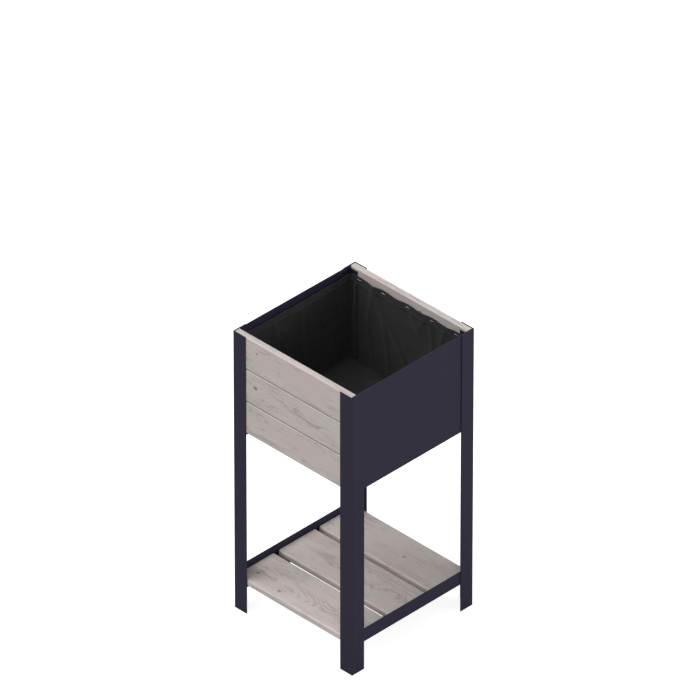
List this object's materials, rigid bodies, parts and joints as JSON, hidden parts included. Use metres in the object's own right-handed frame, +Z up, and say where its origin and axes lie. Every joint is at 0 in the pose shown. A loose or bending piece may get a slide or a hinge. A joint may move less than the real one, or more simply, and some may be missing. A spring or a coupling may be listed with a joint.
{
  "type": "raised planter",
  "caption": "Tall, nearly square planter box on angle-steel legs: timber board front and back, sheet-steel sides, a lined soil space, and a slatted timber shelf below.",
  "frame": {"origin": "middle of the footprint, on the ground", "axes": "+Z up, -Y towards the front timber wall, +X towards the right-hand steel side"},
  "size_m": [0.42, 0.432, 0.852],
  "materials": {
    "powder_coat": "matte fine-textured anthracite powder coat",
    "grey_stained_wood": "planed softwood with a warm light-grey stain",
    "liner_felt": "black non-woven felt",
    "zinc_fixings": "zinc plated"
  },
  "bodies": {
    "root": {"back_board_bottom": "grey_stained_wood", "back_board_middle": "grey_stained_wood", "back_board_screws": "zinc_fixings", "back_board_top": "grey_stained_wood", "corner_cleat_back_left": "powder_coat", "corner_cleat_back_right": "powder_coat", "corner_cleat_front_left": "powder_coat", "corner_cleat_front_right": "powder_coat", "floor_screws": "zinc_fixings", "floor_slat_1": "grey_stained_wood", "floor_slat_2": "grey_stained_wood", "floor_slat_3": "grey_stained_wood", "floor_slat_4": "grey_stained_wood", "front_board_bottom": "grey_stained_wood", "front_board_middle": "grey_stained_wood", "front_board_screws": "zinc_fixings", "front_board_top": "grey_stained_wood", "leg_back_left": "powder_coat", "leg_back_right": "powder_coat", "leg_front_left": "powder_coat", "leg_front_right": "powder_coat", "liner": "liner_felt", "liner_staples": "zinc_fixings", "shelf_board_back": "grey_stained_wood", "shelf_board_front": "grey_stained_wood", "shelf_board_middle": "grey_stained_wood", "shelf_rail_left": "powder_coat", "shelf_rail_right": "powder_coat", "shelf_screws": "zinc_fixings", "side_panel_left": "powder_coat", "side_panel_right": "powder_coat"}
  },
  "joints": []
}
